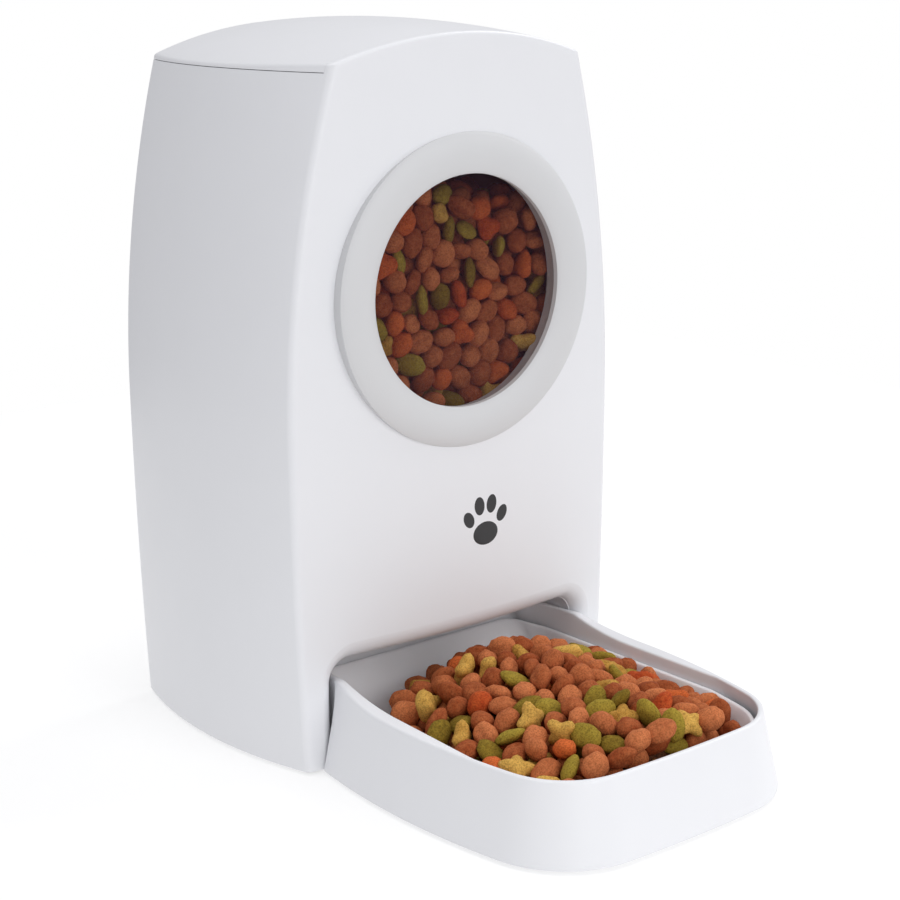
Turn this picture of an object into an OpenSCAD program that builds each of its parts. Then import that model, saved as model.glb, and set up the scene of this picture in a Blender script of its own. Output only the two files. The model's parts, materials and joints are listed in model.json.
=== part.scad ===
// Automatic pet feeder: a barrel-sided body with a food tank, a metering rotor
// driven through a gear train, and a bowl that slides out of a bay in the front.
// Millimetres, +Z up, the front faces -Y.

/* [Body] */
// Height over the lid
body_h = 317.5; // [316:0.5:320]
// Greatest width across the bulging sides
body_w = 200; // [198:1:204]
// Depth from the body's centre to its flat back
back_y = 66; // [66:0.5:67]
// Depth from the body's centre to the middle of its front
front_y = 71.6; // [71:0.2:73]
// Wall thickness of the mouldings
wall = 2.6; // [2.2:0.1:3]
// Height of the seam under the lid
seam_z = 299; // [298:0.5:300]

/* [Window] */
// Height of the window's centre
window_z = 204; // [200:1:208]
// Outer radius of the bezel
bezel_r = 68.2; // [67:0.2:69]
// Radius of the clear window
window_r = 50.5; // [49:0.5:51]

/* [Bowl] */
// How far the bowl reaches in front of the body's centre
bowl_front = 214; // [212:1:216]
// Half width of the bowl at the table
bowl_half_w = 82; // [80:1:83]
// Height of the bowl's rim
bowl_h = 36; // [35:0.5:38]
// Radius of the bowl's front corners
bowl_corner = 42; // [38:1:44]
// Draft of the bowl's walls, measured at the rim
bowl_draft = 7.5; // [6:0.5:8]

/* [Bay] */
// Half width of the bay's opening
bay_half_w = 70.5; // [70:0.5:72]
// Height of the bay's opening
bay_h = 48.5; // [48:0.5:50]
// Width of the rounded reveal round the opening
reveal = 6.5; // [5:0.5:7]

/* [Gears] */
// Tooth module
gear_module = 1.5; // [1.5:0.5:1.5]
// Teeth of the rotor gear
rotor_teeth = 36; // [36:1:36]
// Teeth of the idler gear
idler_teeth = 24; // [24:1:24]
// Teeth of the motor pinion
pinion_teeth = 12; // [12:1:12]

/* [Hidden] */

eps = 0.01;
round_fn = 48;
gap = 0.3;
fit = 0.05;

// Bulging sides: an elevation curve of two tangent arcs, turned about an upright axis
max_half_w = body_w / 2;
side_plan_r = 212;
side_mid_y = 4;
widest_z = 150;
upper_r = 584;
lower_r = 3300;
front_r = 519;
roof_across_r = 200;
roof_along_r = 640;
front_lip = 3.2;

// The frame's origin lies under the middle of the whole object's box
hinge_r = 3;
lid_pin_r = 1.5;
lid_pin_len = 93;
hinge_y = back_y + hinge_r + 0.4;
hinge_z = seam_z;
frame_y = (bowl_front - hinge_y - hinge_r) / 2;

// Heights inside the body, from the table up
base_z = 1.5;
base_t = 3;
ceiling_t = 2.5;
plate_z = 60;
plate_t = 3;
gear_z = 72;
gear_t = 6;
chamber_z = 84;
chamber_floor = 2.5;
chamber_top = 112;
cover_t = 2.4;
stirrer_z = 117;
tank_z = 122;
tank_top = 296;
tank_gap = 0.4;
tank_wall = 2;
tank_inset = wall + tank_gap;

// Window: a bead of round section on a collar, round a flat lens
bezel_collar = 3.4;
bezel_back = 66;
bezel_crest = 2.6;
bezel_w = bezel_r - window_r;
bead_r = pow(bezel_w / 2, 2) / (2 * bezel_crest) + bezel_crest / 2;
hole_r = window_r + bezel_collar + 0.4;
lens_r = window_r + 1.6;
lens_t = 2.4;

// Bay
surround_d = 12;
surround_y = -front_y + surround_d;
surround_top = 62;
bay_back = -20;
bay_corner = 10;
reveal_top = bay_h + reveal + 2.5;
reveal_corner = 17;
reveal_d = 9;

// Lid
skirt_inset = tank_inset + tank_wall + 1.2;
skirt_t = 2;
skirt_drop = 8;
desiccant_r = 24;
desiccant_z = 292;
desiccant_h = 21.1;

// Metering chamber and drive, seen from above
rotor_y = -4;
chamber_r = 52;
chamber_wall = 2.5;
shaft_r = 3;
hub_r = 9;
paddle_n = 6;
outlet_y = -43;
outlet_len = 16;
outlet_w = 44;
idler_angle = 35;
pinion_angle = 60;
rotor_idler = gear_module * (rotor_teeth + idler_teeth) / 2;
idler_pinion = gear_module * (idler_teeth + pinion_teeth) / 2;
idler_x = rotor_idler * cos(idler_angle);
idler_y = rotor_y + rotor_idler * sin(idler_angle);
pinion_x = idler_x + idler_pinion * cos(pinion_angle);
pinion_y = idler_y + idler_pinion * sin(pinion_angle);
bush_r = 6;
idler_pin_r = 2.5;
motor_r = 16;
motor_boss_r = 5;
motor_shaft_r = 2;
motor_screw_r = 1.25;
motor_screw_d = 11;
motor_screw_places = [for (a = [0, 180])
    [pinion_x + motor_screw_d * cos(a), pinion_y + motor_screw_d * sin(a)]];
chute_wall = 2;
chute_z = bay_h - 1;
funnel_h = 34;
funnel_top_r = 110;

// A gap of each driven wheel faces a tooth of its driver
pressure = 20;
backlash = 0.15;
idler_turn = idler_angle + 180 + 180 / idler_teeth;
idler_pitch = 360 / idler_teeth;
idler_lead = pinion_angle - idler_turn;
idler_lag = idler_lead - idler_pitch * floor(idler_lead / idler_pitch);
pinion_turn = pinion_angle + 180 + 180 / pinion_teeth + idler_lag * idler_teeth / pinion_teeth;

// Batteries, behind the drive on the left
cell_r = 16.4;
cell_h = 61;
cell_pitch = 34;
cell_y = 44.2;
cell_z = 7;
cell_x0 = -62;
cell_x = [for (i = [0:2]) cell_x0 + i * cell_pitch];
cell_room = cell_r + 0.3;
holder_wall = 1.2;
door_x0 = -78;
door_x1 = 21;
door_z0 = 9;
door_z1 = 72;
door_sill = 0.8;
door_pin_r = 0.8;

// Button, light and socket on the back
button_x = -14;
light_x = 14;
control_z = 96;
button_r = 7;
button_flange = 1.2;
button_travel = 1.5;
dome_h = 1.9;
switch_y = back_y - wall - button_flange - button_travel - gap - dome_h;
light_r = 2.5;
socket_x = 66;
socket_z = 14;
socket_r = 3.5;
board_x = -80;
board_y = -8;
board_z = 67;
board_posts = [for (x = [4, 40], y = [4, 24]) [board_x + x, board_y + y]];

// Screws and feet
screw_r = 1.6;
screw_hole_r = 1.7;
foot_r = 7;
cover_screw_places = [for (x = [-1, 1], p = [[78, 84], [66, 285]]) [x * p[0], p[1]]];
base_screw_places = [for (x = [-1, 1], y = [-6, 18]) [x * 80, y]];
foot_places = [for (x = [-1, 1], y = [-30, 52]) [x * 78, y]];

// Bowl: a tray whose rim rises towards the body, and a basin that drops into it
bowl_z = 1.5;
tray_wall = 2.6;
tray_floor = 2;
tray_shoulder_y = -67.5;
bowl_rear = -24;
bowl_rear_half = 68.5;
bulge_mid_y = -112;
bulge_r = 330;
bow_r = 700;
rim_rise = 5;
rim_rise_len = 37.5;
rim_rise_y = tray_shoulder_y - rim_rise_len;
rim_rise_r = (pow(rim_rise_len, 2) + pow(rim_rise, 2)) / (2 * rim_rise);
rim_top = bowl_h + rim_rise;
inner_front_half = 68.8;
inner_rear_half = 65.4;
inner_spread_y = -160;
guard_h = 44;
guard_half_w = 60;
basin_top = 30;
basin_wall = 1.8;
basin_gap = 0.6;
basin_slope = 7;
basin_run = 30;
pad_r = 6;
pad_places = [for (x = [-1, 1], y = [-40, -178]) [x * 56, y]];

module in_frame()
    translate([0, frame_y, 0]) children();

// ---------- shared shapes ----------

module side_solid(inset)
    translate([max_half_w - side_plan_r, side_mid_y, 0])
        rotate_extrude($fn = 240)
            union() {
                intersection() {
                    translate([side_plan_r - upper_r, widest_z]) circle(upper_r - inset, $fn = 360);
                    translate([0, widest_z]) square([side_plan_r, body_h]);
                }
                intersection() {
                    translate([side_plan_r - lower_r, widest_z]) circle(lower_r - inset, $fn = 720);
                    translate([0, -20]) square([side_plan_r, widest_z + 20]);
                }
            }

module front_solid(inset)
    translate([0, front_r - front_y, -20])
        cylinder(r = front_r - inset, h = body_h + 40, $fn = 720);

// Crowned roof: an arc across the body, swept along a flatter arc from back to front
module roof_solid(inset)
    translate([0, 0, body_h - roof_along_r]) rotate([0, -90, 0]) rotate([0, 0, -20])
        rotate_extrude(angle = 40, $fn = 720)
            translate([roof_along_r - roof_across_r, 0]) circle(roof_across_r - inset, $fn = 360);

// The body's outer form, drawn in by an inset and cut between two heights
module envelope(inset, z0, z1, back_inset = undef, top_inset = undef)
    intersection() {
        side_solid(inset);
        mirror([1, 0, 0]) side_solid(inset);
        front_solid(inset);
        roof_solid(is_undef(top_inset) ? inset : top_inset);
        translate([-120, -100, z0])
            cube([240, 100 + back_y - (is_undef(back_inset) ? inset : back_inset), z1 - z0]);
    }

// A tube or disc whose axis runs along Y, starting at y and reaching back
module along_y(x, y, z, r, h)
    translate([x, y, z]) rotate([-90, 0, 0]) cylinder(r = r, h = h, $fn = round_fn);

module rounded_rect(w, d, r)
    union() {
        square([w - 2 * r, d], center = true);
        square([w, d - 2 * r], center = true);
        for (x = [-1, 1], y = [-1, 1])
            translate([x * (w / 2 - r), y * (d / 2 - r)]) circle(r, $fn = round_fn);
    }

// The opening's outline: square at the table, rounded at its two top corners
module arch(half_w, top, r)
    union() {
        translate([-half_w, -5]) square([2 * half_w, top - r + 5]);
        translate([-half_w + r, -5]) square([2 * (half_w - r), top + 5]);
        for (x = [-1, 1])
            translate([x * (half_w - r), top - r]) circle(r, $fn = round_fn);
    }

module arch_cut(half_w, top, r, y0, y1)
    translate([0, y1, 0]) rotate([90, 0, 0])
        linear_extrude(y1 - y0) arch(half_w, top, r);

// A screw with its head on top and its shank pointing down
module pan_screw(r, len)
    union() {
        cylinder(r = 2 * r, h = 1.2 * r, $fn = 32);
        translate([0, 0, -len]) cylinder(r = r, h = len + eps, $fn = 32);
    }

// ---------- gears ----------

function involute_deg(r, base_r) =
    let (a = acos(min(1, base_r / r))) tan(a) * 180 / PI - a;

function half_tooth(teeth, r) =
    let (pitch_r = gear_module * teeth / 2, base_r = pitch_r * cos(pressure))
    90 / teeth - backlash / pitch_r * 180 / PI
        + involute_deg(pitch_r, base_r) - involute_deg(r, base_r);

function polar(r, a) = [r * cos(a), r * sin(a)];

function gear_outline(teeth) =
    let (
        pitch_r = gear_module * teeth / 2,
        base_r = pitch_r * cos(pressure),
        tip_r = pitch_r + 0.8 * gear_module,
        root_r = pitch_r - 1.1 * gear_module,
        flank_r = max(base_r, root_r) + eps,
        radii = [for (i = [0:4]) flank_r + (tip_r - flank_r) * i / 4]
    )
    [for (t = [0:teeth - 1])
        let (
            mid = t * 360 / teeth,
            rising = [for (r = radii) polar(r, mid - half_tooth(teeth, r))],
            falling = [for (i = [4:-1:0]) polar(radii[i], mid + half_tooth(teeth, radii[i]))],
            foot = half_tooth(teeth, flank_r) + 0.5
        )
        each concat([polar(root_r, mid - foot)], rising, falling, [polar(root_r, mid + foot)])];

module gear(teeth, turn, bore_r)
    translate([0, 0, gear_z])
        difference() {
            rotate([0, 0, turn]) linear_extrude(gear_t) polygon(gear_outline(teeth));
            translate([0, 0, -1]) cylinder(r = bore_r, h = gear_t + 2, $fn = round_fn);
        }

// ---------- body ----------

module bay_reveal()
    hull() {
        arch_cut(bay_half_w + reveal, reveal_top, reveal_corner, -front_y - 3, -front_y + 2.5);
        arch_cut(bay_half_w + reveal * 0.35, bay_h + reveal * 0.4, 13, -front_y, -front_y + 6);
        arch_cut(bay_half_w, bay_h, bay_corner, -front_y, surround_y - 1.5);
    }

module housing_shell() in_frame() color("white")
    difference() {
        union() {
            difference() {
                envelope(0, base_z, seam_z);
                envelope(wall, -5, seam_z + 5, back_inset = -10);
            }
            difference() {
                envelope(0, seam_z - eps, body_h + 5);
                front_solid(front_lip);
            }
        }
        along_y(0, -front_y - 5, window_z, hole_r, 30);
        arch_cut(bay_half_w + reveal, reveal_top, reveal_corner, -front_y - 5, surround_y + 1);
    }

module bay_surround() in_frame() color("white")
    difference() {
        intersection() {
            envelope(wall + fit, base_z + eps, surround_top);
            translate([-120, -100, 0]) cube([240, 100 + surround_y, surround_top]);
        }
        bay_reveal();
        arch_cut(bay_half_w, bay_h, bay_corner, -front_y - 5, surround_y + 1);
    }

// A bead of round section whose collar passes through the front wall
module window_bezel() in_frame() color("gainsboro")
    translate([0, 0, window_z]) rotate([90, 0, 0])
        difference() {
            rotate_extrude($fn = 180)
                difference() {
                    union() {
                        intersection() {
                            translate([(bezel_r + window_r) / 2, front_y + bezel_crest - bead_r])
                                circle(bead_r, $fn = 180);
                            translate([window_r, bezel_back]) square([bezel_w, 12]);
                        }
                        translate([window_r, bezel_back - 3]) square([bezel_collar, 6]);
                    }
                    translate([window_r - 1, 0]) square([1.8 + 1, front_y - 2.2]);
                }
            translate([0, 150, front_y - front_r])
                rotate([90, 0, 0])
                    difference() {
                        cylinder(r = front_r + 0.05, h = 300, $fn = 720);
                        translate([0, 0, 150]) rotate([90, 0, 0])
                            cylinder(r = hole_r - 0.2, h = 2 * front_r, center = true, $fn = 180);
                    }
        }

module window_lens() in_frame() color([0.25, 0.2, 0.2, 0.5])
    along_y(0, -front_y + 2.3, window_z, lens_r, lens_t);

module rear_cover() in_frame() color("whitesmoke")
    difference() {
        union() {
            intersection() {
                envelope(wall + 0.2, base_z + base_t + 0.2, seam_z, back_inset = 0);
                translate([-120, back_y - wall, 0]) cube([240, 10, 400]);
            }
            for (x = [-1, 1])
                translate([x * 38, 0, 0]) hinge_knuckle(18, -1);
        }
        translate([door_x0 - gap, back_y - 10, door_z0 - door_sill])
            cube([door_x1 - door_x0 + 2 * gap, 20, door_z1 - door_z0 + gap + door_sill]);
        door_hinge(door_pin_r + eps, 3);
        along_y(button_x, back_y - 10, control_z, button_r + 0.3, 20);
        along_y(light_x, back_y - 10, control_z, light_r + fit, 20);
        along_y(socket_x, back_y - 10, socket_z, socket_r + 0.1, 20);
        hinge_bore(lid_pin_r);
        for (p = cover_screw_places)
            along_y(p[0], back_y - 10, p[1], screw_hole_r, 20);
    }

// Half of the hinge: a knuckle with a web down (side -1) or up (side 1)
module hinge_knuckle(len, side)
    translate([-len / 2, 0, 0])
        union() {
            translate([0, hinge_y, hinge_z]) rotate([0, 90, 0])
                cylinder(r = hinge_r, h = len, $fn = round_fn);
            translate([0, back_y - wall + 0.1, side > 0 ? hinge_z + gap : hinge_z - 5])
                cube([len, hinge_y - back_y + wall - 0.1, 5 - (side > 0 ? gap : 0)]);
        }

module hinge_bore(r)
    translate([-60, hinge_y, hinge_z]) rotate([0, 90, 0]) cylinder(r = r, h = 120, $fn = round_fn);

module lid_hinge_pin() in_frame() color("silver")
    translate([-lid_pin_len / 2, hinge_y, hinge_z]) rotate([0, 90, 0])
        cylinder(r = lid_pin_r, h = lid_pin_len, $fn = round_fn);

module lid() in_frame() color("white")
    difference() {
        union() {
            difference() {
                intersection() {
                    envelope(0, seam_z + gap, body_h + 5);
                    front_solid(front_lip + gap);
                }
                intersection() {
                    envelope(wall, seam_z - 5, body_h + 5);
                    front_solid(front_lip + gap + wall);
                }
            }
            difference() {
                envelope(skirt_inset, seam_z - skirt_drop, body_h, top_inset = wall / 2);
                envelope(skirt_inset + skirt_t, seam_z - skirt_drop - 1, body_h + 5, top_inset = 0);
            }
            hinge_knuckle(57, 1);
        }
        hinge_bore(lid_pin_r + fit);
    }

module lid_seal() in_frame() color("lightgray")
    difference() {
        envelope(tank_inset + 0.6, tank_top + 0.2, seam_z + gap, top_inset = 0);
        envelope(skirt_inset - fit, tank_top - 5, body_h + 5, top_inset = 0);
    }

module desiccant_box() in_frame() color("white")
    translate([0, 0, desiccant_z])
        difference() {
            cylinder(r = desiccant_r, h = desiccant_h, $fn = 72);
            translate([0, 0, 2]) cylinder(r = desiccant_r - 1.6, h = 20, $fn = 72);
        }

module desiccant_cover() in_frame() color("lightgray")
    translate([0, 0, desiccant_z - 2])
        difference() {
            cylinder(r = desiccant_r + 1, h = 2, $fn = 72);
            for (a = [0:30:330], d = [8, 16])
                rotate([0, 0, a]) translate([d, 0, -1]) cylinder(r = 1.4, h = 4, $fn = 16);
        }

// ---------- base ----------

module base_plate() in_frame() color("whitesmoke")
    difference() {
        envelope(wall + 0.1, base_z, base_z + base_t);
        translate([-bay_half_w, -120, -5]) cube([2 * bay_half_w, 120 + bay_back, 20]);
        translate([-120, -120, -5]) cube([240, 120 + surround_y + 0.1, 20]);
        for (p = base_screw_places)
            translate([p[0], p[1], -5]) cylinder(r = screw_hole_r, h = 20, $fn = 24);
        for (p = foot_places)
            translate([p[0], p[1], -5])
                cylinder(r = foot_r + fit, h = 5 + base_z + 1, $fn = round_fn);
        translate([0, 0, -5]) linear_extrude(20)
            for (i = [-3:3]) translate([i * 7 + 49, 42]) rounded_rect(3.6, 16, 1.7);
    }

module rubber_feet() in_frame() color("dimgray")
    for (p = foot_places)
        translate([p[0], p[1], 0]) cylinder(r = foot_r, h = base_z + 1, $fn = round_fn);

module base_screws() in_frame() color("silver")
    for (p = base_screw_places)
        translate([p[0], p[1], base_z + base_t]) pan_screw(screw_r, base_t + 0.5);

module cover_screws() in_frame() color("silver")
    for (p = cover_screw_places)
        translate([p[0], back_y, p[1]]) rotate([-90, 0, 0]) pan_screw(screw_r, wall);

// Inner frame of the bay: ceiling, back wall and two side ribs
module bay_frame() in_frame() color("gainsboro")
    difference() {
        intersection() {
            envelope(wall + 0.1, base_z + base_t + fit, bay_h + ceiling_t);
            union() {
                translate([-120, surround_y + 0.1, bay_h])
                    cube([240, bay_back + ceiling_t - surround_y - 0.1, ceiling_t]);
                translate([-120, bay_back, 0]) cube([240, ceiling_t, bay_h + eps]);
                for (x = [-bay_half_w - ceiling_t, bay_half_w])
                    translate([x, surround_y + 0.1, 0])
                        cube([ceiling_t, bay_back - surround_y, bay_h + eps]);
            }
        }
        chute_hole(0.2);
    }

module chute_hole(clear)
    let (w = outlet_w + 2 * (chute_wall + clear), d = outlet_len + 2 * (chute_wall + clear))
        translate([-w / 2, outlet_y - d / 2, 10]) cube([w, d, 100]);

module outlet_chute() in_frame() color("gainsboro")
    translate([0, outlet_y, 0])
        difference() {
            translate([-outlet_w / 2 - chute_wall, -outlet_len / 2 - chute_wall, chute_z])
                cube([outlet_w + 2 * chute_wall, outlet_len + 2 * chute_wall, chamber_z - chute_z]);
            translate([-outlet_w / 2, -outlet_len / 2, chute_z - 1])
                cube([outlet_w, outlet_len, 100]);
        }

// ---------- metering ----------

module dosing_chamber() in_frame() color("whitesmoke")
    difference() {
        translate([0, rotor_y, chamber_z])
            difference() {
                cylinder(r = chamber_r + chamber_wall, h = chamber_top - chamber_z, $fn = 144);
                translate([0, 0, chamber_floor]) cylinder(r = chamber_r, h = 60, $fn = 144);
                translate([0, 0, -5]) cylinder(r = bush_r + fit, h = 20, $fn = round_fn);
            }
        translate([-outlet_w / 2, outlet_y - outlet_len / 2, chamber_z - 5])
            cube([outlet_w, outlet_len, 5 + chamber_floor + eps]);
    }

// Covers the outlet so that food enters the rotor only from the rear
module dosing_cover() in_frame() color("whitesmoke")
    translate([0, rotor_y, chamber_top])
        difference() {
            cylinder(r = chamber_r + chamber_wall, h = cover_t, $fn = 144);
            translate([0, 0, -5]) cylinder(r = shaft_r + 0.6, h = 20, $fn = round_fn);
            intersection() {
                translate([0, 0, -5])
                    difference() {
                        cylinder(r = chamber_r - 3, h = 20, $fn = 144);
                        cylinder(r = 14, h = 20, $fn = 72);
                    }
                translate([-60, 2, -5]) cube([120, 60, 20]);
            }
        }

module paddle_rotor() in_frame() color("orange")
    translate([0, rotor_y, chamber_z + chamber_floor + 0.6])
        difference() {
            union() {
                cylinder(r = hub_r, h = 23, $fn = round_fn);
                for (i = [0:paddle_n - 1])
                    rotate([0, 0, i * 360 / paddle_n])
                        translate([0, -1.2, 0]) cube([chamber_r - 1, 2.4, 22]);
            }
            translate([0, 0, -5]) cylinder(r = shaft_r, h = 40, $fn = round_fn);
        }

module rotor_shaft() in_frame() color("silver")
    translate([0, rotor_y, plate_z + 0.5])
        cylinder(r = shaft_r, h = stirrer_z + 17 - plate_z, $fn = round_fn);

module shaft_bushes() in_frame() color("goldenrod")
    translate([0, rotor_y, 0])
        for (b = [[plate_z - 2, plate_t + 4], [chamber_z - 2, chamber_floor + 2.4]])
            translate([0, 0, b[0]])
                difference() {
                    cylinder(r = bush_r, h = b[1], $fn = round_fn);
                    translate([0, 0, b[0] < chamber_z - 5 ? 1.5 : -1])
                        cylinder(r = shaft_r + fit, h = 20, $fn = round_fn);
                }

module stirrer() in_frame() color("orange")
    translate([0, rotor_y, stirrer_z])
        difference() {
            union() {
                cylinder(r = 8, h = 20, $fn = round_fn);
                for (a = [0, 120, 240])
                    rotate([0, 0, a + 20]) {
                        translate([0, -2, 1]) cube([34, 4, 6]);
                        translate([31, 0, 1]) cylinder(r = 3, h = 16, $fn = 24);
                    }
            }
            translate([0, 0, -5]) cylinder(r = shaft_r, h = 22.5, $fn = round_fn);
        }

module rotor_gear() in_frame() color("ivory")
    translate([0, rotor_y, 0]) gear(rotor_teeth, idler_angle, shaft_r);

// ---------- drive ----------

module gear_plate() in_frame() color("gainsboro")
    difference() {
        translate([0, 0, plate_z]) linear_extrude(plate_t)
            difference() {
                union() {
                    translate([0, rotor_y]) circle(29, $fn = 96);
                    translate([-82, -12]) square([100, 34]);
                    translate([0, -6]) square([80, 32]);
                    translate([pinion_x, pinion_y]) circle(motor_r, $fn = 72);
                    translate([pinion_x - motor_r, 10]) square([2 * motor_r, pinion_y - 10]);
                }
                translate([-60, -60]) square([120, 60 + outlet_y + outlet_len / 2 + 2.5]);
            }
        translate([0, rotor_y, 0]) cylinder(r = bush_r + fit, h = 100, $fn = round_fn);
        translate([idler_x, idler_y, 0]) cylinder(r = idler_pin_r, h = 100, $fn = round_fn);
        translate([pinion_x, pinion_y, 0]) cylinder(r = motor_boss_r + fit, h = 100, $fn = round_fn);
        for (p = motor_screw_places)
            translate([p[0], p[1], 0]) cylinder(r = motor_screw_r + fit, h = 100, $fn = 24);
    }

module idler_pin() in_frame() color("silver")
    translate([idler_x, idler_y, plate_z])
        union() {
            cylinder(r = idler_pin_r, h = gear_z - plate_z + gear_t + 1, $fn = round_fn);
            translate([0, 0, plate_t])
                cylinder(r = 4.5, h = gear_z - plate_z - plate_t - 0.4, $fn = round_fn);
            translate([0, 0, gear_z - plate_z + gear_t + 0.4]) cylinder(r = 4, h = 1, $fn = round_fn);
        }

module idler_gear() in_frame() color("ivory")
    translate([idler_x, idler_y, 0]) gear(idler_teeth, idler_turn, idler_pin_r + fit);

module drive_motor() in_frame() color("silver")
    translate([pinion_x, pinion_y, 0])
        difference() {
            union() {
                translate([0, 0, 22]) cylinder(r = 12, h = 22, $fn = 72);
                translate([0, 0, 44]) cylinder(r = motor_r, h = plate_z - 44, $fn = 72);
                translate([0, 0, plate_z - eps])
                    cylinder(r = motor_boss_r, h = plate_t + 0.5, $fn = round_fn);
            }
            translate([0, 0, 46]) cylinder(r = motor_shaft_r + fit, h = 40, $fn = round_fn);
            for (a = [0, 180])
                rotate([0, 0, a]) translate([motor_screw_d, 0, plate_z - 5])
                    cylinder(r = motor_screw_r + fit, h = 20, $fn = 24);
        }

module motor_screws() in_frame() color("silver")
    for (p = motor_screw_places)
        translate([p[0], p[1], plate_z + plate_t]) pan_screw(motor_screw_r, 6);

module motor_shaft() in_frame() color("silver")
    translate([pinion_x, pinion_y, 48])
        cylinder(r = motor_shaft_r, h = gear_z + gear_t - 47, $fn = round_fn);

module motor_pinion() in_frame() color("goldenrod")
    translate([pinion_x, pinion_y, 0]) gear(pinion_teeth, pinion_turn, motor_shaft_r);

// ---------- electronics ----------

module circuit_board() in_frame() color("darkgreen")
    difference() {
        union() {
            translate([board_x, board_y, board_z]) cube([44, 28, 1.6]);
            for (p = board_posts)
                translate([p[0], p[1], plate_z + plate_t])
                    cylinder(r = 2, h = board_z - plate_z - plate_t + 0.5, $fn = 24);
        }
        for (p = board_posts)
            translate([p[0], p[1], board_z + 0.8]) cylinder(r = 1, h = 5, $fn = 16);
    }

module board_parts() in_frame() color("black")
    translate([board_x, board_y, board_z + 1.6])
        union() {
            translate([10, 8, 0]) cube([10, 10, 1.6]);
            translate([26, 5, 0]) cube([6, 5, 1.4]);
            translate([25, 14, 0]) cube([9, 8, 5.5]);
            for (x = [14, 20])
                translate([x, 22.5, 0]) cylinder(r = 2.4, h = 8, $fn = 24);
        }

module power_socket() in_frame() color("black")
    difference() {
        union() {
            translate([socket_x - 5, back_y - wall - 12, socket_z - 5.5]) cube([10, 12, 11]);
            along_y(socket_x, back_y - wall - 0.1, socket_z, socket_r, wall + 0.1);
        }
        difference() {
            along_y(socket_x, back_y - 10.5, socket_z, 2.75, 12);
            along_y(socket_x, back_y - 12, socket_z, 1, 11);
        }
    }

module battery_holder() in_frame() color("dimgray")
    difference() {
        translate([cell_x0 - cell_room - holder_wall, cell_y - cell_room - holder_wall, base_z + base_t])
            cube([2 * (cell_pitch + cell_room + holder_wall), 2 * cell_r + holder_wall - 1, cell_h + 5]);
        translate([cell_x0 - cell_room, cell_y - cell_room, cell_z - 1.3])
            cube([2 * (cell_pitch + cell_room), 60, cell_h + 2.6]);
    }

module battery_cells() in_frame() color("darkslategray")
    for (x = cell_x)
        translate([x, cell_y, cell_z])
            union() {
                cylinder(r = cell_r, h = cell_h - 1.5, $fn = 72);
                cylinder(r = 4.7, h = cell_h, $fn = 32);
            }

module battery_contacts() in_frame() color("silver")
    for (x = cell_x, z = [cell_z - 0.8, cell_z + cell_h + 0.05])
        translate([x - 6, cell_y - 8, z]) cube([12, 16, 0.7]);

module battery_door() in_frame() color("whitesmoke")
    difference() {
        union() {
            translate([door_x0, back_y - wall + 0.1, door_z0])
                cube([door_x1 - door_x0, wall - 0.1, door_z1 - door_z0]);
            for (i = [0:3])
                translate([(door_x0 + door_x1) / 2 - 12, back_y - eps, door_z1 - 6 - 3 * i])
                    cube([24, 0.8, 1.2]);
        }
        door_hinge(door_pin_r + fit, 1);
    }

// A rod along the door's lower edge that runs past each end
module door_hinge(r, past)
    translate([door_x0 - past, back_y - 1.3, door_z0 + 1.3]) rotate([0, 90, 0])
        cylinder(r = r, h = door_x1 - door_x0 + 2 * past, $fn = 32);

module door_pin() in_frame() color("silver")
    door_hinge(door_pin_r, 3);

module feed_button() in_frame() color("gray")
    union() {
        along_y(button_x, back_y - wall, control_z, button_r, wall + 1.6);
        along_y(button_x, back_y - wall - button_flange, control_z, button_r + 1.4, button_flange);
    }

module button_dome() in_frame() color("silver")
    along_y(button_x, switch_y, control_z, 3, dome_h);

module switch_board() in_frame() color("darkgreen")
    translate([button_x - 13, switch_y - 1.7, control_z - 9]) cube([54, 1.6, 18]);

module status_light() in_frame() color("lightgreen")
    along_y(light_x, switch_y, control_z, light_r, back_y + 0.3 - switch_y);

// ---------- tank ----------

module food_tank() in_frame() color([0.9, 0.9, 0.92])
    difference() {
        envelope(tank_inset, tank_z, tank_top);
        envelope(tank_inset + tank_wall, tank_z - 5, tank_top + 5);
        along_y(0, -front_y - 5, window_z, window_r + 5.2, 30);
    }

module funnel_form(r0, r1, z)
    translate([0, rotor_y, z]) cylinder(r1 = r0, r2 = r1, h = funnel_h, $fn = 144);

// A cone that meets the tank's walls, above a short neck round the dosing cover
module tank_funnel() in_frame() color([0.9, 0.9, 0.92])
    difference() {
        intersection() {
            envelope(tank_inset + tank_wall + fit, chamber_top, tank_z + funnel_h);
            union() {
                translate([0, rotor_y, chamber_top + cover_t])
                    cylinder(r = chamber_r + chamber_wall, h = 8, $fn = 144);
                funnel_form(chamber_r + chamber_wall, funnel_top_r, tank_z - 2);
            }
        }
        translate([0, rotor_y, chamber_top - 1]) cylinder(r = chamber_r, h = 20, $fn = 144);
        funnel_form(chamber_r, funnel_top_r - chamber_wall, tank_z - 0.6);
    }

// ---------- bowl ----------

// Bowl outline: bulging sides, a bowed front and round corners
module bowl_outline(inset)
    offset(r = bowl_corner - inset, $fn = 96) offset(delta = -bowl_corner)
        intersection() {
            for_both_sides() translate([bowl_half_w - bulge_r, bulge_mid_y]) circle(bulge_r, $fn = 360);
            translate([0, bow_r - bowl_front]) circle(bow_r, $fn = 720);
            translate([-120, -bowl_front - 10]) square([240, bowl_front + 80]);
        }

module for_both_sides()
    intersection() {
        children();
        mirror([1, 0]) children();
    }

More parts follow.
